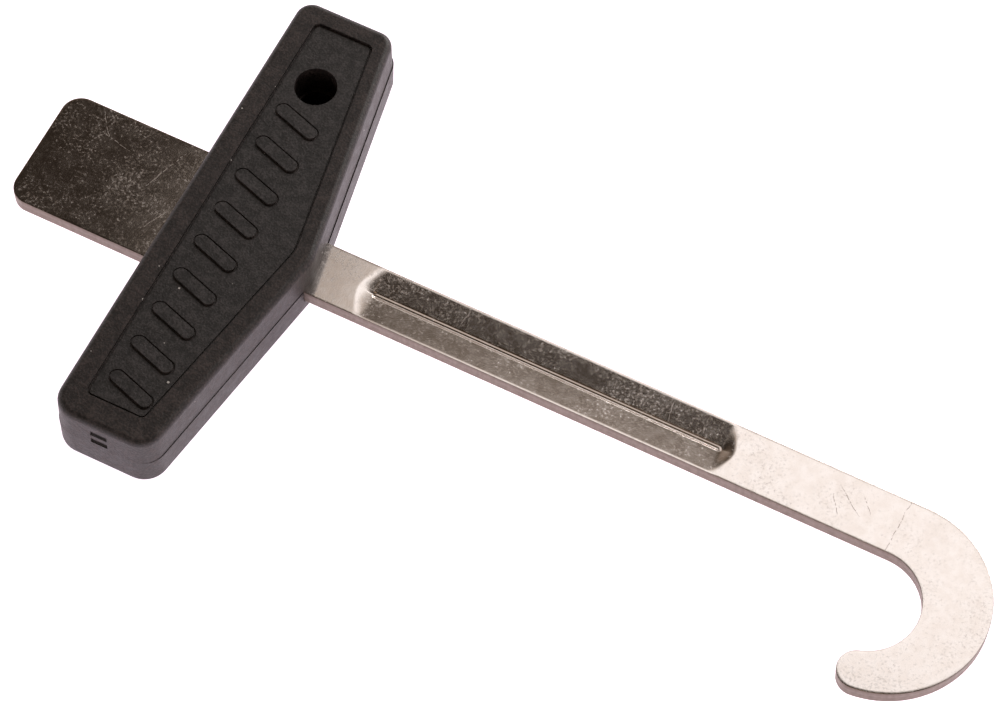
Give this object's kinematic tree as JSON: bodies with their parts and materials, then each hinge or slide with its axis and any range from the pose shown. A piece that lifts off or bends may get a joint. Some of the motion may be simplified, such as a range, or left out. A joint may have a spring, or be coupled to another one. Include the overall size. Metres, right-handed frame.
{
  "type": "t-handle hook tool",
  "caption": "Small hand tool: black moulded T handle on a flat steel strip that is a wide pry blade behind it and a grooved shank with a flat hook in front.",
  "frame": {"origin": "on the handle's flat back face, on the centre line of the steel shank", "axes": "+X along the steel strip towards the hook, +Y along the handle towards its hanging hole, +Z out of the handle's panelled front face"},
  "size_m": [0.1522, 0.0757, 0.011],
  "materials": {
    "handle_plastic": "fine matte grain, black",
    "strip_steel": "dull nickel plate over blanked steel"
  },
  "bodies": {
    "root": {"handle_front_shell": "handle_plastic", "handle_back_shell": "handle_plastic", "hook_strip": "strip_steel"}
  },
  "joints": []
}
